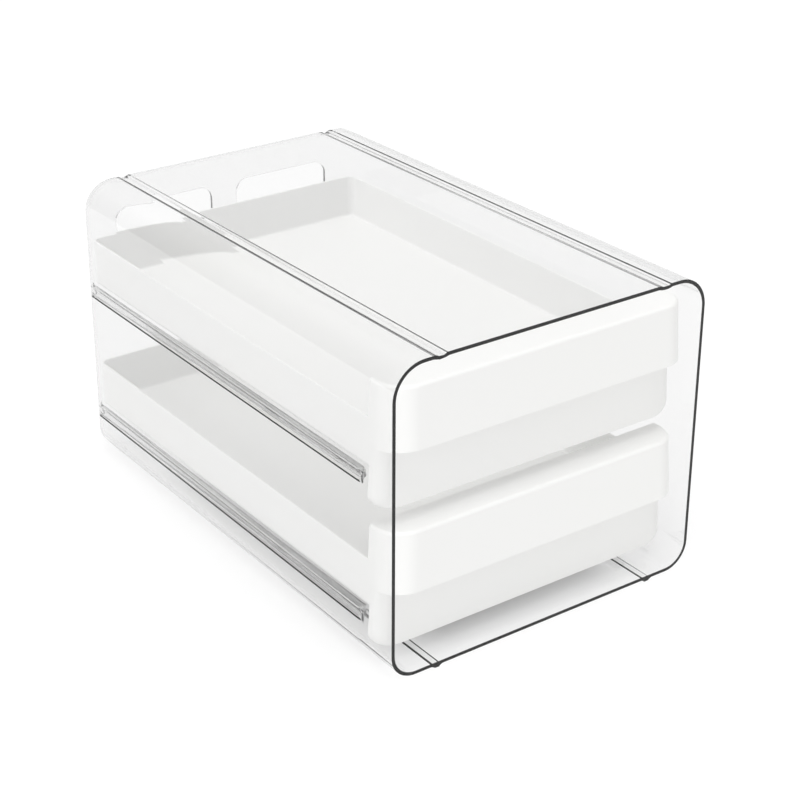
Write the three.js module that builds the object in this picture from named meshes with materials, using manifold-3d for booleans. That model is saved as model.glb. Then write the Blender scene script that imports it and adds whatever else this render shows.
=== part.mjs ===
import * as THREE from "three";
import * as BufferGeometryUtils from "three/addons/utils/BufferGeometryUtils.js";
import Module from "manifold-3d";

const wasm = await Module();
wasm.setup();

// Two-drawer egg box: a clear one-piece housing, open at the front, with two
// white drawers that slide on rails pressed into its side walls.
// Millimetres. X across, -Y is the open front, +Z up. The origin is on the
// resting plane under the middle of the housing. A setback is a distance
// behind the housing's front rim.

// Housing
const DEPTH = 320;
const FRONT_Y = -DEPTH / 2;
const REAR_Y = DEPTH / 2;
const WIDTH = 202.5;
const HEIGHT = 178;
const SHEET = 2;
const SIDE_DRAFT = 2.4;
const TOP_DRAFT = 1.2;
const TOP_CORNER = 19;
const BOTTOM_CORNER = 15;
const REAR_ROUND = 10;

// Ribs under the floor and the grooves in the top that they stack into
const RIB_X = 72.4;
const RIB_WIDTH = 7.6;
const RIB_HEIGHT = 2;
const RIB_SLOPE = 2.1;
const GROOVE_WIDTH = 7.6;
const GROOVE_DEPTH = 1.3;
const GROOVE_SLOPE = 1.5;
const GROOVE_SPREAD = 0.7;

// Rails
const TIER_PITCH = 80.2;
const RAIL_INNER_X = 92;
const RAIL_TOP_Z = 31.7;
const RAIL_FACE = 5.2;
const RAIL_SLOPE = 2.4;
const RAIL_EDGE = 0.4;
const RAIL_START = 25.5;
const RAIL_FULL = 31;
const RAIL_WALL = 3.4;
const RAIL_TRIM = 1.1;

// Finger openings in the rear wall
const WINDOW_NEAR_X = 9;
const WINDOW_FAR_X = 75.3;
const WINDOW_BOTTOM_Z = 120;
const WINDOW_TOP_Z = 153.7;
const WINDOW_CORNER = 8;

// Drawer tray
const RAIL_GAP = 0.3;
const TRAY_HALF_WIDTH = 95.6;
const TRAY_TAPER = 1.4;
const TRAY_FRONT = 23;
const TRAY_BACK = 315;
const TRAY_BOTTOM_Z = RAIL_TOP_Z + RAIL_GAP;
const TRAY_FLOOR = 1.6;
const TRAY_RIM_Z = 60.5;
const TRAY_WALL = 1.6;
const TRAY_CORNER = 5;
const TRAY_INNER_CORNER = 3.5;
const TRAY_COVE = 3;
const TRAY_EDGE = 0.6;

// Drawer front: a panel below, with a bowed band above that is gripped from behind
const FRONT_BACK = 25;
const FRONT_WALL = 2;
const FRONT_TOP_Z = 81.7;
const BAND_BOTTOM_Z = 47.3;
const BAND_HALF_WIDTH = 95.8;
const BAND_SETBACK = 5.2;
const BAND_FLARE = 1.6;
const BAND_CORNER = 15.5;
const BAND_TOP_ROUND = 1.8;
const BAND_LIP_ROUND = 0.8;
const PANEL_HALF_WIDTH = 97.3;
const PANEL_SETBACK = 15.5;
const PANEL_CORNER = 6.5;
const PANEL_BOTTOM_Z = 11.6;
const PANEL_FOOT_ROUND = 7;

// How round stretches are divided, and how far a cutter passes the face it opens
const QUARTER_TURN = Math.PI / 2;
const ARC_DIVISIONS = 5;
const EDGE_STEPS = 5;
const CREASE_ANGLE = 0.5;
const OVERRUN = 1;

const CLEAR_PLASTIC = { color: 0xf2f6f7, roughness: 0.08, metalness: 0, transparent: true, opacity: 0.3 };
const WHITE_PLASTIC = { color: 0xf4f4f2, roughness: 0.35, metalness: 0 };

// ---- general helpers ----

// Closed outline made of its right half and that half's mirror image.
function mirrored(right) {
  const left = right.map((point) => new THREE.Vector2(-point.x, point.y));
  return right.concat(left.reverse());
}

// Steps along a quarter-round edge, from the wall to the face beside it: how far
// each has come in from the wall, and how far it still is from the face.
function quarterRound(radius) {
  const steps = [];
  for (let i = 0; i <= EDGE_STEPS; i += 1) {
    const angle = (QUARTER_TURN * i) / EDGE_STEPS;
    steps.push({ inward: radius * (1 - Math.cos(angle)), left: radius * (1 - Math.sin(angle)) });
  }
  return steps;
}

// Skins matching rings of points, one after another, and closes both ends.
function loft(rings, firstOutline, lastOutline) {
  const count = firstOutline.length;
  const lastStart = (rings.length - 1) * count;
  const triangles = [];
  for (let start = 0; start < lastStart; start += count) {
    for (let i = 0; i < count; i += 1) {
      const a = start + i;
      const b = start + ((i + 1) % count);
      triangles.push([a, b, b + count], [a, b + count, a + count]);
    }
  }
  for (const [a, b, c] of THREE.ShapeUtils.triangulateShape(firstOutline, [])) {
    triangles.push([c, b, a]);
  }
  for (const [a, b, c] of THREE.ShapeUtils.triangulateShape(lastOutline, [])) {
    triangles.push([lastStart + a, lastStart + b, lastStart + c]);
  }
  const geometry = new THREE.BufferGeometry().setFromPoints(rings.flat());
  return solidOf(geometry.setIndex(triangles.flat()));
}

// Loft through level sections, listed from the lowest to the highest.
function loftUpward(sections) {
  const rings = sections.map(({ outline, z }) => outline.map((p) => new THREE.Vector3(p.x, p.y, z)));
  return loft(rings, sections[0].outline, sections.at(-1).outline);
}

// Loft through upright sections, listed from the front to the rear.
function loftBackward(sections) {
  const rearFirst = sections.toReversed();
  const rings = rearFirst.map(({ outline, y }) => outline.map((p) => new THREE.Vector3(p.x, y, p.y)));
  return loft(rings, rearFirst[0].outline, rearFirst.at(-1).outline);
}

function solidOf(geometry) {
  const bare = new THREE.BufferGeometry();
  bare.setAttribute("position", geometry.getAttribute("position"));
  bare.setIndex(geometry.index);
  const joined = BufferGeometryUtils.mergeVertices(bare);
  const mesh = new wasm.Mesh({
    numProp: 3,
    vertProperties: joined.getAttribute("position").array,
    triVerts: Uint32Array.from(joined.index.array),
  });
  return new wasm.Manifold(mesh);
}

function meshOf(name, solid, look) {
  const { vertProperties, triVerts } = solid.getMesh();
  const geometry = new THREE.BufferGeometry();
  geometry.setAttribute("position", new THREE.BufferAttribute(vertProperties, 3));
  geometry.setIndex(new THREE.BufferAttribute(triVerts, 1));
  const shaded = BufferGeometryUtils.toCreasedNormals(geometry, CREASE_ANGLE);
  const mesh = new THREE.Mesh(shaded, new THREE.MeshStandardMaterial(look));
  mesh.name = name;
  return mesh;
}

// ---- housing ----

// The two skins of the moulded sheet. The ribs are solid, the grooves and the
// rails are pressed through from outside.
const OUTER_SKIN = { inset: 0, rib: RIB_HEIGHT, spread: 0, railX: RAIL_INNER_X + RAIL_WALL, trim: RAIL_TRIM };
const INNER_SKIN = { inset: SHEET, rib: 0, spread: GROOVE_SPREAD, railX: RAIL_INNER_X, trim: 0 };

function addRib(path, bottom, height) {
  const half = RIB_WIDTH / 2;
  path.moveTo(RIB_X - half, bottom);
  path.lineTo(RIB_X - half + RIB_SLOPE, bottom - height);
  path.lineTo(RIB_X + half - RIB_SLOPE, bottom - height);
  path.lineTo(RIB_X + half, bottom);
}

function addRail(path, tierZ, wallX, faceX, trim) {
  const top = tierZ + RAIL_TOP_Z - trim;
  const foot = tierZ + RAIL_TOP_Z - RAIL_FACE + trim;
  path.lineTo(wallX, foot - RAIL_SLOPE);
  path.lineTo(faceX, foot);
  path.lineTo(faceX, top - RAIL_EDGE);
  path.lineTo(wallX, top);
}

function addGroove(path, top, spread) {
  const half = GROOVE_WIDTH / 2 + spread;
  path.lineTo(RIB_X + half, top);
  path.lineTo(RIB_X + half - GROOVE_SLOPE, top - GROOVE_DEPTH);
  path.lineTo(RIB_X - half + GROOVE_SLOPE, top - GROOVE_DEPTH);
  path.lineTo(RIB_X - half, top);
}

// Cross-section of one skin, drawn in by the draft and by edgeInset at the rounded rear.
function housingOutline(skin, setback, edgeInset) {
  const shrink = skin.inset + edgeInset;
  const wallX = WIDTH / 2 - (SIDE_DRAFT * setback) / DEPTH - shrink;
  const bottom = RIB_HEIGHT + shrink;
  const top = HEIGHT - (TOP_DRAFT * setback) / DEPTH - shrink;
  const lowCorner = BOTTOM_CORNER - shrink;
  const highCorner = TOP_CORNER - shrink;
  const railShare = THREE.MathUtils.smoothstep(setback, RAIL_START, RAIL_FULL);
  const railX = THREE.MathUtils.lerp(wallX, Math.min(skin.railX, wallX), railShare);

  const rightHalf = new THREE.Path();
  addRib(rightHalf, bottom, Math.max(skin.rib - edgeInset, 0));
  rightHalf.absarc(wallX - lowCorner, bottom + lowCorner, lowCorner, -QUARTER_TURN, 0);
  addRail(rightHalf, 0, wallX, railX, skin.trim);
  addRail(rightHalf, TIER_PITCH, wallX, railX, skin.trim);
  rightHalf.absarc(wallX - highCorner, top - highCorner, highCorner, 0, QUARTER_TURN);
  addGroove(rightHalf, top, skin.spread);
  return mirrored(rightHalf.getPoints(ARC_DIVISIONS));
}

function housingSkin(skin, startY, endSetback) {
  const sections = [{ outline: housingOutline(skin, 0, 0), y: startY }];
  for (const setback of [RAIL_START, RAIL_FULL]) {
    sections.push({ outline: housingOutline(skin, setback, 0), y: FRONT_Y + setback });
  }
  for (const { inward, left } of quarterRound(REAR_ROUND - skin.inset)) {
    const setback = endSetback - left;
    sections.push({ outline: housingOutline(skin, setback, inward), y: FRONT_Y + setback });
  }
  return loftBackward(sections);
}

function rearWindow(side) {
  const left = -(WINDOW_FAR_X - WINDOW_NEAR_X) / 2 + WINDOW_CORNER;
  const right = -left;
  const low = WINDOW_BOTTOM_Z + WINDOW_CORNER;
  const high = WINDOW_TOP_Z - WINDOW_CORNER;
  const outline = new THREE.Shape();
  outline.absarc(right, low, WINDOW_CORNER, -QUARTER_TURN, 0);
  outline.absarc(right, high, WINDOW_CORNER, 0, QUARTER_TURN);
  outline.absarc(left, high, WINDOW_CORNER, QUARTER_TURN, 2 * QUARTER_TURN);
  outline.absarc(left, low, WINDOW_CORNER, 2 * QUARTER_TURN, 3 * QUARTER_TURN);
  const cutter = new THREE.ExtrudeGeometry(outline, {
    depth: SHEET + 2 * OVERRUN,
    bevelEnabled: false,
    curveSegments: ARC_DIVISIONS,
  });
  cutter.rotateX(QUARTER_TURN);
  cutter.translate((side * (WINDOW_NEAR_X + WINDOW_FAR_X)) / 2, REAR_Y + OVERRUN, 0);
  return solidOf(cutter);
}

function buildHousing() {
  const outer = housingSkin(OUTER_SKIN, FRONT_Y, DEPTH);
  const inner = housingSkin(INNER_SKIN, FRONT_Y - OVERRUN, DEPTH - SHEET);
  return outer.subtract(inner).subtract(rearWindow(-1)).subtract(rearWindow(1));
}

// ---- drawer ----

// Plan with rounded front corners and a straight, square back.
function frontPlan(halfWidth, setback, corner, back) {
  const rightHalf = new THREE.Path();
  rightHalf.absarc(halfWidth - corner, FRONT_Y + setback + corner, corner, -QUARTER_TURN, 0);
  rightHalf.lineTo(halfWidth, FRONT_Y + back);
  return mirrored(rightHalf.getPoints(ARC_DIVISIONS));
}

// The band widens downward; inset draws its whole outline in.
function bandPlan(z, inset) {
  const flare = (BAND_FLARE * (FRONT_TOP_Z - z)) / (FRONT_TOP_Z - BAND_BOTTOM_Z);
  const grow = flare - inset;
  return frontPlan(BAND_HALF_WIDTH + grow, BAND_SETBACK - grow, BAND_CORNER + grow, FRONT_BACK - inset);
}

function bandOuter() {
  const lip = quarterRound(BAND_LIP_ROUND).map(({ inward, left }) => ({
    outline: bandPlan(BAND_BOTTOM_Z, left),
    z: BAND_BOTTOM_Z + inward,
  }));
  const top = quarterRound(BAND_TOP_ROUND).map(({ inward, left }) => ({
    outline: bandPlan(FRONT_TOP_Z - left, inward),
    z: FRONT_TOP_Z - left,
  }));
  return loftUpward([...lip, ...top]);
}

function bandHollow() {
  const top = FRONT_TOP_Z - FRONT_WALL;
  return loftUpward([
    { outline: bandPlan(BAND_BOTTOM_Z, FRONT_WALL), z: BAND_BOTTOM_Z - OVERRUN },
    { outline: bandPlan(top, FRONT_WALL), z: top },
  ]);
}

function panelPlan(inset, narrowing) {
  const halfWidth = PANEL_HALF_WIDTH - narrowing - inset;
  return frontPlan(halfWidth, PANEL_SETBACK + inset, PANEL_CORNER - inset, FRONT_BACK - inset);
}

// The panel's two lower corners are rounded as seen from the front, and above the
// band's lip it narrows with the band.
function panelBlock(inset, topZ) {
  const foot = quarterRound(PANEL_FOOT_ROUND).map(({ inward, left }) => ({
    outline: panelPlan(inset, left),
    z: PANEL_BOTTOM_Z + inward,
  }));
  return [
    ...foot,
    { outline: panelPlan(inset, 0), z: BAND_BOTTOM_Z },
    { outline: panelPlan(inset, BAND_FLARE), z: topZ },
  ];
}

function panelHollow() {
  const sections = panelBlock(FRONT_WALL, FRONT_TOP_Z - FRONT_WALL);
  sections[0].z -= OVERRUN;
  return loftUpward(sections);
}

function buildFront() {
  const panel = loftUpward(panelBlock(0, FRONT_TOP_Z - BAND_TOP_ROUND));
  const fingerSpace = bandHollow().subtract(panel);
  return bandOuter().add(panel).subtract(fingerSpace).subtract(panelHollow());
}

function trayPlan(inset, corner, front) {
  const cornerX = TRAY_HALF_WIDTH - TRAY_TAPER - inset - corner;
  const cornerY = FRONT_Y + TRAY_BACK - inset - corner;
  const rearCorner = new THREE.EllipseCurve(cornerX, cornerY, corner, corner, 0, QUARTER_TURN);
  const frontEnd = new THREE.Vector2(TRAY_HALF_WIDTH - inset, FRONT_Y + front);
  return mirrored([frontEnd, ...rearCorner.getPoints(2 * ARC_DIVISIONS)]);
}

function trayOuter() {
  return loftUpward([
    { outline: trayPlan(TRAY_EDGE, TRAY_CORNER - TRAY_EDGE, TRAY_FRONT), z: TRAY_BOTTOM_Z },
    { outline: trayPlan(0, TRAY_CORNER, TRAY_FRONT), z: TRAY_BOTTOM_Z + TRAY_EDGE },
    { outline: trayPlan(0, TRAY_CORNER, TRAY_FRONT), z: TRAY_RIM_Z },
  ]);
}

function trayHollow() {
  const sections = quarterRound(TRAY_COVE).map(({ inward, left }) => ({
    outline: trayPlan(TRAY_WALL + left, TRAY_INNER_CORNER, FRONT_BACK + left),
    z: TRAY_BOTTOM_Z + TRAY_FLOOR + inward,
  }));
  sections.push({ outline: sections.at(-1).outline, z: TRAY_RIM_Z + OVERRUN });
  return loftUpward(sections);
}

function buildDrawer() {
  const tray = trayOuter().subtract(trayHollow());
  return buildFront().add(tray);
}

// ---- assembly ----

const eggBox = new THREE.Group();
eggBox.name = "egg_drawer_box";
eggBox.add(meshOf("housing", buildHousing(), CLEAR_PLASTIC));

const lowerDrawer = meshOf("lower_drawer", buildDrawer(), WHITE_PLASTIC);
const upperDrawer = meshOf("upper_drawer", buildDrawer(), WHITE_PLASTIC);
upperDrawer.position.z = TIER_PITCH;
eggBox.add(lowerDrawer, upperDrawer);

export default eggBox;
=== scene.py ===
"""Clear egg box with two white drawers that slide on rails pressed into its side walls."""

import math

import bmesh
import bpy
from bpy.props import FloatProperty, FloatVectorProperty, PointerProperty
from mathutils import Matrix, Vector


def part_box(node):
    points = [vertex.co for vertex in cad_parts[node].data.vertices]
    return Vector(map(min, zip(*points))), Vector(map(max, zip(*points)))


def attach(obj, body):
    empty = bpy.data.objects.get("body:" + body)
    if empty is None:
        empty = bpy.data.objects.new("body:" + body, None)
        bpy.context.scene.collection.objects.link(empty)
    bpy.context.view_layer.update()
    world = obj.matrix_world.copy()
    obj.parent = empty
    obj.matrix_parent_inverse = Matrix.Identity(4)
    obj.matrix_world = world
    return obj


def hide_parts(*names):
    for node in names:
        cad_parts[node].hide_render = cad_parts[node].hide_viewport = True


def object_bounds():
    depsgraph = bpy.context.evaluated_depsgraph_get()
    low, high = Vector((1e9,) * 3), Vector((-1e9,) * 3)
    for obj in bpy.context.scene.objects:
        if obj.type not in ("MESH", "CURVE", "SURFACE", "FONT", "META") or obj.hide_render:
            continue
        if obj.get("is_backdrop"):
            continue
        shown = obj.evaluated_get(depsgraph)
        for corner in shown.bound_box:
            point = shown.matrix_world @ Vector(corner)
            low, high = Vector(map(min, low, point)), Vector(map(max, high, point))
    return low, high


bl_info = {
    "name": "Egg Drawer Box",
    "version": (1, 0, 0),
    "blender": (4, 5, 0),
    "location": "View3D > Sidebar > Egg Box",
    "description": "Builds a clear egg box with sliding white drawers around its CAD frame",
    "category": "Object",
}

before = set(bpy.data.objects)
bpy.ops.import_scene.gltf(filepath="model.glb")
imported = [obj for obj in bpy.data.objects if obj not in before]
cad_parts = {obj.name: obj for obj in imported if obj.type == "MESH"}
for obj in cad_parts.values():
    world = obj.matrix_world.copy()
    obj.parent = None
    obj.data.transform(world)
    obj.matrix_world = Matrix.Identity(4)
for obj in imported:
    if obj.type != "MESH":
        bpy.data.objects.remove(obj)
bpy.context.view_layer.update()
MM = 0.001
X, Y, Z = 0, 1, 2
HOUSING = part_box("housing")
DRAWERS = ("lower_drawer", "upper_drawer")
TIER_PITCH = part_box(DRAWERS[1])[0].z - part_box(DRAWERS[0])[0].z

SHEET_EDGE = 0.25 * MM
BAND_EDGE = 0.7 * MM
PANEL_EDGE = 0.4 * MM
TRAY_EDGE = 0.5 * MM
EDGE_SEGMENTS = 3
EDGE_ANGLE = math.radians(50.0)
SHARP_ANGLE = math.radians(35.0)
# How far the panel stays inside the band where both have a wall in the same place.
PANEL_TUCK = 0.4 * MM
# Height above the band's lip at which the panel has narrowed to stay inside the band.
LIP_MARGIN = 0.5 * MM
# Loops this far below a rail's top hold its ledge flat and sharp.
LEDGE_STEPS = (0.25 * MM, 0.03 * MM, 0.0)
TOUCH = 1e-5

FLOOR_HALF = 3.0
FLOOR_DROP = 0.3 * MM
LAMP_ANGLE = math.radians(30.0)
# Name, place it shines from, strength.
LAMPS = (
    ("left_key", (-0.9, -0.1, 0.42), 0.8),
    ("front_fill", (-0.15, -0.18, 0.97), 1.2),
)
LENS_LENGTH = 87.03
SENSOR_WIDTH = 36.0
LENS_SHIFT = (0.0273, -0.0474)
CAMERA_AZIMUTH = math.radians(-35.49)
CAMERA_ELEVATION = math.radians(25.1)
CAMERA_DISTANCE = 1.1106
AIM_OFFSET = Vector((3.9, -1.0, 3.0)) * MM

WHITE = (1.0, 1.0, 1.0, 1.0)


def length(label, text, millimetres):
    """A size in metres that the sidebar shows in the scene's units."""
    return FloatProperty(
        name=label, description=text, default=millimetres * MM, unit="LENGTH", precision=5
    )


def colour(label, text, value):
    """A linear colour that the sidebar shows as a swatch."""
    return FloatVectorProperty(
        name=label, description=text, default=value, subtype="COLOR", min=0.0, max=1.0
    )


class HousingSizes(bpy.types.PropertyGroup):
    """Sizes of the clear housing."""

    sheet: length("Sheet", "Thickness of the moulded sheet", 2.0)
    side_draft: length("Side draft", "How far each side leans in by the rear", 2.4)
    top_draft: length("Top draft", "How far the top drops by the rear", 1.2)
    top_corner: length("Top corner", "Radius of the long upper corners", 19.0)
    bottom_corner: length("Bottom corner", "Radius of the long lower corners", 15.0)
    rear_round: length("Rear rounding", "Radius round the rear wall", 10.0)
    groove_x: length("Groove place", "Distance of each groove and rib from the middle", 72.4)
    groove_half: length("Groove half width", "Half the width of a groove at its mouth", 3.8)
    groove_floor: length("Groove floor", "Half the width of a groove at its floor", 1.6)
    groove_depth: length("Groove depth", "Depth of the stacking grooves", 1.3)
    groove_spread: length("Groove spread", "How much wider each groove is under the sheet", 1.0)
    rib_half: length("Rib half width", "Half the width of a rib where it meets the floor", 3.8)
    rib_floor: length("Rib foot", "Half the width of a rib's resting face", 1.5)
    rib_height: length("Rib height", "Height of the stacking ribs", 2.0)
    dent_x: length("Dent face", "Distance of each rail's outer dent from the middle", 98.2)
    dent_foot: length("Dent foot", "Height of the lower rail's dent at its lower lip", 25.2)
    dent_full: length("Dent slope end", "Height at which the lower dent is full", 26.6)
    dent_fade: length("Dent upper slope", "Height at which the lower dent starts to fade", 30.1)
    dent_top: length("Dent top", "Height of the lower rail's dent at its upper lip", 30.6)
    rail_x: length("Rail face", "Distance of each rail's inner face from the middle", 93.4)
    rail_foot: length("Rail foot", "Height at which the lower rail leaves the wall", 24.1)
    rail_full: length("Rail slope end", "Height at which the lower rail stands out in full", 26.5)
    rail_top: length("Rail top", "Height of the ledge on which the lower tray slides", 31.7)
    rail_start: length("Rail start", "Setback at which the rails begin", 25.5)
    rail_ramp: length("Rail ramp", "Length over which a rail reaches its depth", 5.5)
    window_near: length("Window near edge", "Distance of each rear window from the middle", 9.0)
    window_far: length("Window far edge", "Far edge of each rear window", 75.3)
    window_low: length("Window sill", "Height of the windows' lower edge", 120.0)
    window_high: length("Window head", "Height of the windows' upper edge", 153.7)
    window_corner: length("Window corner", "Corner radius of the windows", 8.0)


class DrawerSizes(bpy.types.PropertyGroup):
    """Sizes of one drawer, with heights taken on the lower tier."""

    wall: length("Front wall", "Thickness of the front's walls", 2.0)
    front_back: length("Front back", "Setback of the back of the drawer front", 25.0)
    band_half: length("Band half width", "Half the width of the band at its top", 95.8)
    band_setback: length("Band setback", "Setback of the band at its top", 5.2)
    band_flare: length("Band flare", "How far the band widens down to its lip", 1.6)
    band_lip: length("Band lip", "Height of the band's lower lip", 47.3)
    band_corner: length("Band corner", "Radius of the band's front corners", 15.5)
    band_top: length("Band top rounding", "Radius round the band's top", 1.8)
    panel_half: length("Panel half width", "Half the width of the panel", 97.3)
    panel_setback: length("Panel setback", "Setback of the panel", 15.5)
    panel_corner: length("Panel corner", "Radius of the panel's upright edges", 6.5)
    panel_foot: length("Panel foot", "Radius of the panel's lower corners", 7.0)
    tray_half: length("Tray half width", "Half the width of the tray at its front", 95.6)
    tray_taper: length("Tray taper", "How far each tray side leans in by the rear", 1.4)
    tray_bottom: length("Tray bottom", "Height of the tray's underside", 32.0)
    tray_rim: length("Tray rim", "Height of the tray's rim", 60.5)
    tray_corner: length("Tray corner", "Radius of the tray's rear corners", 6.0)
    tray_cove: length("Tray cove", "Radius round the tray's bottom", 3.2)
    tray_wall: length("Tray wall", "Thickness of the tray", 1.6)


class Finishes(bpy.types.PropertyGroup):
    """Colours of the materials and the studio."""

    clear: colour("Clear plastic", "Tint of the housing", (0.99, 0.99, 0.99))
    white: colour("White plastic", "Colour of the drawers", (0.875, 0.875, 0.87))
    floor: colour("Floor", "Colour of the studio floor", (0.36, 0.36, 0.36))
    # Painted shadow: the dimmer glow the floor gives under the drawers, in place of their cast
    # shadow.
    painted_floor_shadow: colour("Floor shade", "Colour of the glow under the drawers", (0.2, 0.2, 0.2))
    sky: colour("Sky", "Colour of the surroundings as soft light", (0.76, 0.76, 0.76))
    room: colour("Room", "Colour of the room as clear and glossy faces show it", (0.12, 0.12, 0.12))


# ---- shader nodes ----


class Field:
    """A number that varies over a surface, held as the socket that gives it."""

    def __init__(self, finish, socket):
        self.finish = finish
        self.socket = socket

    def _with(self, operation, first, second):
        maths = self.finish.add("ShaderNodeMath", {"operation": operation}, {0: first, 1: second})
        return Field(self.finish, maths.outputs[0])

    def __add__(self, other):
        return self._with("ADD", self, other)

    def __radd__(self, other):
        return self._with("ADD", other, self)

    def __sub__(self, other):
        return self._with("SUBTRACT", self, other)

    def __rsub__(self, other):
        return self._with("SUBTRACT", other, self)

    def __mul__(self, other):
        return self._with("MULTIPLY", self, other)

    def __rmul__(self, other):
        return self._with("MULTIPLY", other, self)

    def clipped(self):
        """This number held between 0 and 1."""
        return self._with("MINIMUM", self._with("MAXIMUM", self, 0.0), 1.0)


class Finish:
    """The node tree of a material or of the world, under construction."""

    def __init__(self, holder):
        holder.use_nodes = True
        self.holder = holder
        self.tree = holder.node_tree
        self.tree.nodes.clear()
        self.place = self.add("ShaderNodeTexCoord").outputs["Object"]

    def add(self, kind, settings=None, inputs=None):
        """A new node, with its settings made first and then its sockets set or linked."""
        node = self.tree.nodes.new(kind)
        for key, value in (settings or {}).items():
            setattr(node, key, value)
        for key, value in (inputs or {}).items():
            if isinstance(value, Field):
                value = value.socket
            if isinstance(value, bpy.types.NodeSocket):
                self.tree.links.new(value, node.inputs[key])
            else:
                node.inputs[key].default_value = value
        return node

    def noise(self, scale, detail, stretch=(1.0, 1.0, 1.0)):
        """Soft noise from 0 to 1, with its cells stretched along the axes."""
        cells = self.add("ShaderNodeMapping", {}, {"Vector": self.place, "Scale": stretch}).outputs[0]
        noise = self.add(
            "ShaderNodeTexNoise", {}, {"Vector": cells, "Scale": scale, "Detail": detail}
        )
        return Field(self, noise.outputs["Fac"])

    def axes(self, vector):
        """The three parts of a vector."""
        parts = self.add("ShaderNodeSeparateXYZ", {}, {0: vector})
        return [Field(self, part) for part in parts.outputs]

    def bump(self, height, distance, strength):
        """A surface normal raised by a height from 0 to 1."""
        return self.add(
            "ShaderNodeBump", {}, {"Height": height, "Distance": distance, "Strength": strength}
        ).outputs[0]

    def blend(self, share, first, second):
        """A colour between two others."""
        mix = self.add("ShaderNodeMix", {"data_type": "RGBA"}, {0: share, 6: first, 7: second})
        return mix.outputs[2]

    def choice(self, share, first, second):
        """One shader or another, by a share from 0 to 1."""
        return self.add("ShaderNodeMixShader", {}, {0: share, 1: first, 2: second}).outputs[0]

    def done(self, shader, inside=None):
        """The material with this shader on its surface and, if given, one inside it."""
        out = self.add("ShaderNodeOutputMaterial", {}, {"Surface": shader})
        if inside:
            self.tree.links.new(inside, out.inputs["Volume"])
        return self.holder


def clear_plastic(finishes):
    """Polished clear plastic with faint handling haze and the slow waves of a moulding."""
    finish = Finish(bpy.data.materials.new("clear_plastic"))
    haze = finish.noise(9.0, 3.0)
    waves = finish.noise(14.0, 1.0, (1.0, 0.35, 1.0))
    glass = finish.add(
        "ShaderNodeBsdfPrincipled",
        {},
        {
            "Base Color": (*finishes.clear, 1.0),
            "Roughness": 0.002 + 0.02 * haze,
            "IOR": 1.5,
            "Transmission Weight": 1.0,
            "Normal": finish.bump(waves, 0.0002, 0.1),
        },
    ).outputs[0]
    paths = finish.add("ShaderNodeLightPath").outputs
    unbent = finish.add("ShaderNodeBsdfTransparent", {}, {"Color": WHITE}).outputs[0]
    soft_light = finish.choice(paths["Is Diffuse Ray"], glass, unbent)
    body = finish.add(
        "ShaderNodeVolumeAbsorption", {}, {"Color": (0.5, 0.5, 0.5, 1.0), "Density": 56.0}
    ).outputs[0]
    return finish.done(finish.choice(paths["Is Shadow Ray"], soft_light, unbent), body)


def white_plastic(finishes):
    """Satin white plastic with a fine moulded grain, thin enough to let some light through."""
    finish = Finish(bpy.data.materials.new("white_plastic"))
    grain = finish.noise(1400.0, 2.0)
    cloud = finish.noise(6.0, 2.0)
    red, green, blue = finishes.white
    warm = (red, green, blue * 0.985, 1.0)
    shell = finish.add(
        "ShaderNodeBsdfPrincipled",
        {},
        {
            "Base Color": finish.blend(cloud, (*finishes.white, 1.0), warm),
            "Roughness": grain * 0.08 + cloud * 0.06 + 0.3,
            "IOR": 1.5,
            "Normal": finish.bump(grain, 0.00005, 0.2),
        },
    ).outputs[0]
    paths = finish.add("ShaderNodeLightPath").outputs
    through = finish.add("ShaderNodeBsdfTransparent", {}, {"Color": WHITE}).outputs[0]
    veil = finish.choice(0.7, shell, through)
    soft_light = finish.choice(paths["Is Diffuse Ray"], shell, veil)
    return finish.done(finish.choice(paths["Is Shadow Ray"], soft_light, veil))


def studio_floor(finishes):
    """Matt white floor, lit from within, with a painted shadow where it glows less under the drawers.
    """
    finish = Finish(bpy.data.materials.new("studio_floor"))
    speck = finish.noise(40.0, 2.0)
    x, y, _ = finish.axes(finish.place)
    # Painted shadow: a patch under the drawers where the floor glows with the dimmer shadow colour.
    across = (2.5 - x * 30.0).clipped() * (2.5 + x * 30.0).clipped()
    under = across * (5.3 + y * 35.0).clipped() * (3.5 - y * 35.0).clipped()
    paper = finish.add(
        "ShaderNodeBsdfPrincipled",
        {},
        {
            "Base Color": (*finishes.floor, 1.0),
            "Roughness": speck * 0.1 + 0.8,
            "Specular IOR Level": 0.1,
            # The glow drops to the painted shadow colour inside the patch under the drawers.
            "Emission Color": finish.blend(under, WHITE, (*finishes.painted_floor_shadow, 1.0)),
            "Emission Strength": 0.62,
        },
    )
    return finish.done(paper.outputs[0])


def studio_world(world, finishes):
    """White surroundings, with the front of the room darker in clear and glossy faces."""
    finish = Finish(world)
    x, y, z = finish.axes(finish.place)
    front = (0.9 + (x * -0.58 - y * 0.81) * 1.5).clipped()
    below_lamps = ((0.95 - z) * 4.0).clipped()
    paths = finish.add("ShaderNodeLightPath").outputs
    seen, glossy, bent = (
        Field(finish, paths[name])
        for name in ("Is Camera Ray", "Is Glossy Ray", "Is Transmission Ray")
    )
    clear = (glossy + bent).clipped()
    shade = finish.blend((clear + seen).clipped(), (*finishes.sky, 1.0), WHITE)
    shade = finish.blend(front * below_lamps * clear, shade, (*finishes.room, 1.0))
    sky = finish.add("ShaderNodeBackground", {}, {"Color": shade, "Strength": 1.0})
    finish.add("ShaderNodeOutputWorld", {}, {"Surface": sky.outputs[0]})


# ---- mesh tools ----


def smoothstep(low, high, value):
    """How far value is from low to high, eased at both ends."""
    share = min(max((value - low) / (high - low), 0.0), 1.0)
    return share * share * (3.0 - 2.0 * share)


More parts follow.
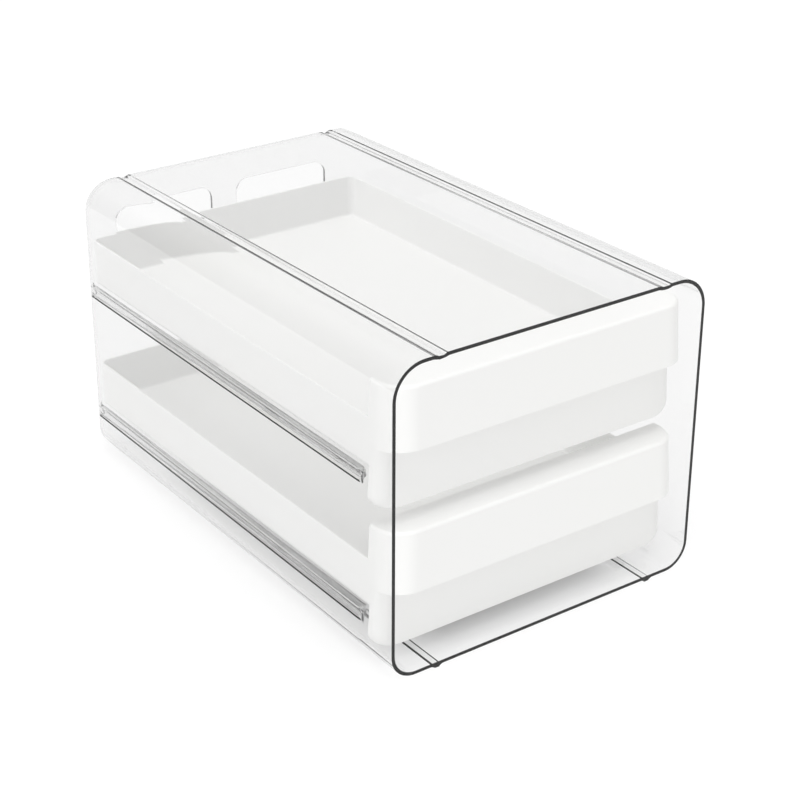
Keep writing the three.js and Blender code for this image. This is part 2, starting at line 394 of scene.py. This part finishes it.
def box_between(low, high):
    """A bmesh holding one box."""
    bm = bmesh.new()
    bmesh.ops.create_cube(bm, size=1.0)
    low, high = Vector(low), Vector(high)
    bmesh.ops.scale(bm, vec=high - low, verts=bm.verts)
    bmesh.ops.translate(bm, vec=(low + high) / 2, verts=bm.verts)
    return bm


def faces_facing(bm, axis, sign):
    """Flat faces that point along an axis."""
    bm.normal_update()
    return [face for face in bm.faces if face.normal[axis] * sign > 0.99]


def edges_along(bm, axis, test):
    """Edges that run along an axis and whose ends both pass a test."""
    found = []
    for edge in bm.edges:
        run = (edge.verts[1].co - edge.verts[0].co).normalized()
        if abs(run[axis]) > 0.9 and all(test(v.co) for v in edge.verts):
            found.append(edge)
    return found


def round_off(bm, edges, radius, segments):
    """Edges turned into a round of a given radius."""
    bmesh.ops.bevel(
        bm, geom=edges, offset=radius, segments=segments, affect="EDGES", profile=0.5, material=-1
    )


def open_up(bm, faces):
    """Faces taken away, with whatever only they held."""
    bmesh.ops.delete(bm, geom=faces, context="FACES")


def slice_at(bm, axis, places, chosen):
    """Loops cut across the chosen faces at places along an axis."""
    normal = Vector([1.0 if i == axis else 0.0 for i in range(3)])
    for place in places:
        bm.normal_update()
        faces = [face for face in bm.faces if chosen(face)]
        edges = {edge for face in faces for edge in face.edges}
        verts = {vert for face in faces for vert in face.verts}
        bmesh.ops.bisect_plane(
            bm, geom=[*verts, *edges, *faces], dist=1e-6, plane_co=normal * place, plane_no=normal
        )


def steps_between(low, high, count):
    """Evenly spaced places, ends included."""
    return [low + (high - low) * i / count for i in range(count + 1)]


def object_from(name, bm):
    """A new object in the scene that takes over a bmesh."""
    mesh = bpy.data.meshes.new(name)
    bm.to_mesh(mesh)
    bm.free()
    piece = bpy.data.objects.new(name, mesh)
    bpy.context.scene.collection.objects.link(piece)
    return piece


def add_modifier(piece, kind, **settings):
    """A modifier with its settings."""
    modifier = piece.modifiers.new(kind.title(), kind)
    for key, value in settings.items():
        setattr(modifier, key, value)
    return modifier


def thicken(piece, thickness):
    """A skin given its wall, inwards."""
    add_modifier(piece, "SOLIDIFY", thickness=thickness, offset=-1.0, use_even_offset=True)
    settle(piece)


def soften(piece, radius):
    """The rims of a shell rounded over."""
    add_modifier(
        piece, "BEVEL", width=radius, segments=EDGE_SEGMENTS,
        limit_method="ANGLE", angle_limit=EDGE_ANGLE,
    )
    settle(piece)


def settle(piece):
    """Modifiers worked into the mesh."""
    bpy.context.view_layer.update()
    depsgraph = bpy.context.evaluated_depsgraph_get()
    finished = bpy.data.meshes.new_from_object(piece.evaluated_get(depsgraph))
    piece.modifiers.clear()
    piece.data = finished


def merge(piece, others):
    """Other shells moved into a piece's mesh."""
    bm = bmesh.new()
    for source in (piece, *others):
        bm.from_mesh(source.data)
    bm.to_mesh(piece.data)
    bm.free()
    for other in others:
        bpy.data.objects.remove(other)


def dress(piece, material, node):
    """Shading, material and place in the frame for a finished piece."""
    piece.data.shade_smooth()
    piece.data.set_sharp_from_angle(angle=SHARP_ANGLE)
    add_modifier(piece, "WEIGHTED_NORMAL", keep_sharp=True)
    piece.data.materials.clear()
    piece.data.materials.append(material)
    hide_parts(node)
    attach(piece, node)


# ---- housing ----


def housing_skin(sizes):
    """The outer skin of the housing, open at the front."""
    low, high = (corner.copy() for corner in HOUSING)
    low.z += sizes.rib_height
    bm = box_between(low, high)
    open_up(bm, faces_facing(bm, Y, -1))
    for vert in bm.verts:
        if vert.co.y > 0:
            vert.co.x -= math.copysign(sizes.side_draft, vert.co.x)
            if vert.co.z > sizes.top_corner:
                vert.co.z -= sizes.top_draft
    middle = (low.z + high.z) / 2
    round_off(bm, edges_along(bm, Y, lambda co: co.z > middle), sizes.top_corner, 14)
    round_off(bm, edges_along(bm, Y, lambda co: co.z < middle), sizes.bottom_corner, 12)
    rear = max(bm.faces, key=lambda face: face.calc_center_median().y)
    round_off(bm, list(rear.edges), sizes.rear_round, 9)
    return bm


def cut_strips(bm, sizes):
    """Loops along the grooves in the top and the ribs under the floor."""
    for sign, half, floor in (
        (1, sizes.groove_half + sizes.groove_spread, sizes.groove_floor),
        (-1, sizes.rib_half, sizes.rib_floor),
    ):
        for offset in steps_between(floor, half, 9):
            places = [
                side * (sizes.groove_x + way * offset) for side in (-1, 1) for way in (-1, 1)
            ]
            slice_at(bm, X, places, lambda face: face.normal.z * sign > 0.1)


def cut_rails(bm, sizes):
    """Loops along the rails and their dents in both side walls."""
    front = HOUSING[0].y + sizes.rail_start
    ramp = steps_between(front, front + sizes.rail_ramp, 5)
    slice_at(bm, Y, ramp, lambda face: abs(face.normal.x) > 0.9)
    levels = steps_between(sizes.rail_foot, sizes.dent_full, 7)
    levels += steps_between(sizes.dent_fade, sizes.dent_top, 3)
    levels += [sizes.rail_top - step for step in LEDGE_STEPS]
    for tier in (0.0, TIER_PITCH):
        slice_at(bm, Z, [tier + level for level in levels], lambda face: abs(face.normal.x) > 0.1)


def strip_share(co, sizes, half, floor):
    """How deep a point lies in a groove or rib, from 0 to 1."""
    return smoothstep(half, floor, abs(abs(co.x) - sizes.groove_x))


def shape_strips(co, facing, inside, sizes):
    """Grooves pressed into the top, and solid ribs drawn down under the floor."""
    if co.z > HOUSING[1].z / 2:
        spread = sizes.groove_spread if inside else 0.0
        share = strip_share(co, sizes, sizes.groove_half + spread, sizes.groove_floor + spread / 2)
        co.z -= sizes.groove_depth * share * abs(facing.z)
    elif not inside:
        share = strip_share(co, sizes, sizes.rib_half, sizes.rib_floor)
        co.z -= sizes.rib_height * share * abs(facing.z)


def shape_rails(co, facing, inside, sizes):
    """Rails standing out of the inner walls, with shallower dents behind them."""
    front = HOUSING[0].y + sizes.rail_start
    reach = smoothstep(front, front + sizes.rail_ramp, co.y) * smoothstep(0.3, 0.8, abs(facing.x))
    for tier in (0.0, TIER_PITCH):
        height = co.z - tier
        if inside:
            share = smoothstep(sizes.rail_foot, sizes.rail_full, height)
            share *= height < sizes.rail_top - TOUCH
            face = sizes.rail_x
        else:
            share = smoothstep(sizes.dent_foot, sizes.dent_full, height)
            share *= smoothstep(sizes.dent_top, sizes.dent_fade, height)
            face = sizes.dent_x
        if abs(co.x) > face:
            co.x = math.copysign(abs(co.x) + (face - abs(co.x)) * share * reach, co.x)


def shape_walls(piece, sizes):
    """Grooves, ribs and rails worked into the thickened sheet, and its open rim trimmed flush.

    The sheet's points come in two halves, one for each face, and the wider half is outside.
    """
    points = piece.data.vertices
    half = len(points) // 2
    first_out = max(abs(v.co.x) for v in points[:half]) > max(abs(v.co.x) for v in points[half:])
    for index, vert in enumerate(points):
        co, facing = vert.co.copy(), vert.normal.copy()
        inside = (index >= half) == first_out
        shape_rails(co, facing, inside, sizes)
        shape_strips(co, facing, inside, sizes)
        co.y = max(co.y, HOUSING[0].y)
        vert.co = co


def cut_windows(bm, sizes):
    """Two round-cornered windows in the rear wall."""
    rear_y = HOUSING[1].y
    rear = max(bm.faces, key=lambda face: face.calc_center_median().y)
    rims = list(rear.edges)
    bmesh.ops.delete(bm, geom=[rear], context="FACES_ONLY")
    width = sizes.window_far - sizes.window_near
    height = sizes.window_high - sizes.window_low
    for side in (-1, 1):
        centre = Vector((
            side * (sizes.window_near + sizes.window_far) / 2,
            rear_y,
            (sizes.window_low + sizes.window_high) / 2,
        ))
        upright = Matrix.Translation(centre) @ Matrix.Rotation(math.pi / 2, 4, "X")
        stretch = Matrix.Diagonal((width, height, 1.0, 1.0))
        made = bmesh.ops.create_grid(
            bm, x_segments=1, y_segments=1, size=0.5, matrix=upright @ stretch
        )
        bmesh.ops.bevel(
            bm, geom=made["verts"], offset=sizes.window_corner, segments=10, affect="VERTICES",
            profile=0.5, material=-1,
        )
        pane = min(bm.faces, key=lambda face: (face.calc_center_median() - centre).length)
        rims += list(pane.edges)
        bmesh.ops.delete(bm, geom=[pane], context="FACES_ONLY")
    bmesh.ops.triangle_fill(bm, use_beauty=True, use_dissolve=False, edges=rims)


class EGGBOX_OT_housing(bpy.types.Operator):
    """Make the clear housing"""

    bl_idname = "eggbox.housing"
    bl_label = "Clear Housing"

    def execute(self, context):
        sizes = context.scene.egg_housing
        bm = housing_skin(sizes)
        cut_strips(bm, sizes)
        cut_rails(bm, sizes)
        cut_windows(bm, sizes)
        bmesh.ops.recalc_face_normals(bm, faces=bm.faces)
        piece = object_from("clear_housing", bm)
        thicken(piece, sizes.sheet)
        shape_walls(piece, sizes)
        soften(piece, SHEET_EDGE)
        dress(piece, clear_plastic(context.scene.egg_finishes), "housing")
        return {"FINISHED"}


# ---- drawers ----


def band_skin(sizes, top, front_y):
    """The bowed band and the top of a drawer front, open behind and below."""
    back = front_y + sizes.front_back
    front = front_y + sizes.band_setback
    bm = box_between((-sizes.band_half, front, sizes.band_lip), (sizes.band_half, back, top))
    open_up(bm, faces_facing(bm, Z, -1) + faces_facing(bm, Y, 1))
    for vert in bm.verts:
        if vert.co.z < top - MM:
            vert.co.x += math.copysign(sizes.band_flare, vert.co.x)
            if vert.co.y < back - MM:
                vert.co.y -= sizes.band_flare
    round_off(bm, edges_along(bm, Z, lambda co: co.y < back - MM), sizes.band_corner, 16)
    crown = faces_facing(bm, Z, 1)[0]
    rim = [edge for edge in crown.edges if min(v.co.y for v in edge.verts) < back - MM]
    round_off(bm, rim, sizes.band_top, 5)
    return bm


def panel_skin(sizes, top, bottom, front_y):
    """The panel of a drawer front, open below and narrowing round its foot."""
    front, back = front_y + sizes.panel_setback, front_y + sizes.front_back - PANEL_TUCK
    bm = box_between((-sizes.panel_half, front, bottom), (sizes.panel_half, back, top))
    open_up(bm, faces_facing(bm, Z, -1))
    round_off(bm, edges_along(bm, Z, lambda co: co.y < back - MM), sizes.panel_corner, 9)
    foot = sizes.panel_foot
    turns = steps_between(0.2, math.pi / 2, 8)
    levels = [bottom + foot * (1.0 - math.cos(turn)) for turn in turns]
    levels.append(sizes.band_lip + LIP_MARGIN)
    slice_at(bm, Z, levels, lambda face: abs(face.normal.z) < 0.1)
    for vert in bm.verts:
        height = vert.co.z - bottom
        inset = 0.0
        if height < foot:
            inset = foot - math.sqrt(foot * foot - (foot - height) ** 2)
        elif vert.co.z > sizes.band_lip:
            inset = sizes.panel_half - sizes.band_half + PANEL_TUCK
        vert.co.x -= math.copysign(inset, vert.co.x)
    return bm


def tray_skin(sizes, back, front_y):
    """The egg tray, open above and where it meets the drawer front."""
    front = front_y + sizes.front_back - MM
    bm = box_between(
        (-sizes.tray_half, front, sizes.tray_bottom), (sizes.tray_half, back, sizes.tray_rim)
    )
    open_up(bm, faces_facing(bm, Z, 1) + faces_facing(bm, Y, -1))
    for vert in bm.verts:
        if vert.co.y > front + MM:
            vert.co.x -= math.copysign(sizes.tray_taper, vert.co.x)
    round_off(bm, edges_along(bm, Z, lambda co: co.y > front + MM), sizes.tray_corner, 8)
    base = faces_facing(bm, Z, -1)[0]
    rim = [edge for edge in base.edges if max(v.co.y for v in edge.verts) > front + MM]
    round_off(bm, rim, sizes.tray_cove, 6)
    return bm


def make_drawer(node, sizes, material):
    """One drawer, its front and tray moulded together."""
    low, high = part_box(node)
    rise = low.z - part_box(DRAWERS[0])[0].z
    front_y = HOUSING[0].y
    top = high.z - rise
    skins = (
        (band_skin(sizes, top, front_y), sizes.wall, BAND_EDGE),
        (panel_skin(sizes, top - MM, low.z - rise, front_y), sizes.wall, PANEL_EDGE),
        (tray_skin(sizes, high.y, front_y), sizes.tray_wall, TRAY_EDGE),
    )
    solids = []
    for bm, wall, edge in skins:
        bmesh.ops.recalc_face_normals(bm, faces=bm.faces)
        bmesh.ops.translate(bm, vec=(0.0, 0.0, rise), verts=bm.verts)
        solid = object_from(node + "_body", bm)
        thicken(solid, wall)
        soften(solid, edge)
        solids.append(solid)
    merge(solids[0], solids[1:])
    dress(solids[0], material, node)


class EGGBOX_OT_drawers(bpy.types.Operator):
    """Make both drawers"""

    bl_idname = "eggbox.drawers"
    bl_label = "White Drawers"

    def execute(self, context):
        material = white_plastic(context.scene.egg_finishes)
        for node in DRAWERS:
            make_drawer(node, context.scene.egg_drawers, material)
        return {"FINISHED"}


# ---- stage ----


class EGGBOX_OT_stage(bpy.types.Operator):
    """Make the floor, the light and the camera"""

    bl_idname = "eggbox.stage"
    bl_label = "Studio"

    def execute(self, context):
        scene = context.scene
        bm = bmesh.new()
        bmesh.ops.create_grid(bm, x_segments=1, y_segments=1, size=FLOOR_HALF)
        bmesh.ops.translate(bm, vec=(0.0, 0.0, -FLOOR_DROP), verts=bm.verts)
        floor = object_from("floor", bm)
        floor.data.materials.append(studio_floor(scene.egg_finishes))
        floor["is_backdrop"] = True

        scene.world = bpy.data.worlds.new("studio")
        studio_world(scene.world, scene.egg_finishes)
        scene.view_settings.view_transform = "Standard"
        for name, place, strength in LAMPS:
            lamp = bpy.data.lights.new(name, "SUN")
            lamp.energy, lamp.angle = strength, LAMP_ANGLE
            softbox = bpy.data.objects.new(name, lamp)
            softbox.location = place
            softbox.rotation_mode = "QUATERNION"
            softbox.rotation_quaternion = Vector(place).to_track_quat("Z", "Y")
            softbox.visible_glossy = softbox.visible_transmission = False
            scene.collection.objects.link(softbox)

        lens = bpy.data.cameras.new("camera")
        lens.lens = LENS_LENGTH
        lens.sensor_width = SENSOR_WIDTH
        lens.shift_x, lens.shift_y = LENS_SHIFT
        camera = bpy.data.objects.new("camera", lens)
        back = Vector((
            math.sin(CAMERA_AZIMUTH) * math.cos(CAMERA_ELEVATION),
            -math.cos(CAMERA_AZIMUTH) * math.cos(CAMERA_ELEVATION),
            math.sin(CAMERA_ELEVATION),
        ))
        low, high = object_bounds()
        target = (low + high) / 2 + AIM_OFFSET
        camera.rotation_mode = "QUATERNION"
        camera.location = target + back * CAMERA_DISTANCE
        camera.rotation_quaternion = (-back).to_track_quat("-Z", "Y")
        scene.collection.objects.link(camera)
        scene.camera = camera
        return {"FINISHED"}


class EGGBOX_PT_sidebar(bpy.types.Panel):
    """The egg box's operators and sizes"""

    bl_idname = "EGGBOX_PT_sidebar"
    bl_label = "Egg Box"
    bl_space_type = "VIEW_3D"
    bl_region_type = "UI"
    bl_category = "Egg Box"

    def draw(self, context):
        for operator in OPERATORS:
            self.layout.operator(operator.bl_idname)
        for name in SETTINGS:
            group = getattr(context.scene, name)
            box = self.layout.box()
            for key in group.__annotations__:
                box.prop(group, key)


SETTINGS = {"egg_housing": HousingSizes, "egg_drawers": DrawerSizes, "egg_finishes": Finishes}
OPERATORS = (EGGBOX_OT_drawers, EGGBOX_OT_housing, EGGBOX_OT_stage)
CLASSES = (*SETTINGS.values(), *OPERATORS, EGGBOX_PT_sidebar)


def register():
    for cls in CLASSES:
        bpy.utils.register_class(cls)
    for name, group in SETTINGS.items():
        setattr(bpy.types.Scene, name, PointerProperty(type=group))


def unregister():
    for name in SETTINGS:
        delattr(bpy.types.Scene, name)
    for cls in reversed(CLASSES):
        bpy.utils.unregister_class(cls)


def main():
    register()
    bpy.ops.eggbox.drawers()
    bpy.ops.eggbox.housing()
    bpy.ops.eggbox.stage()


if __name__ == "__main__":
    main()
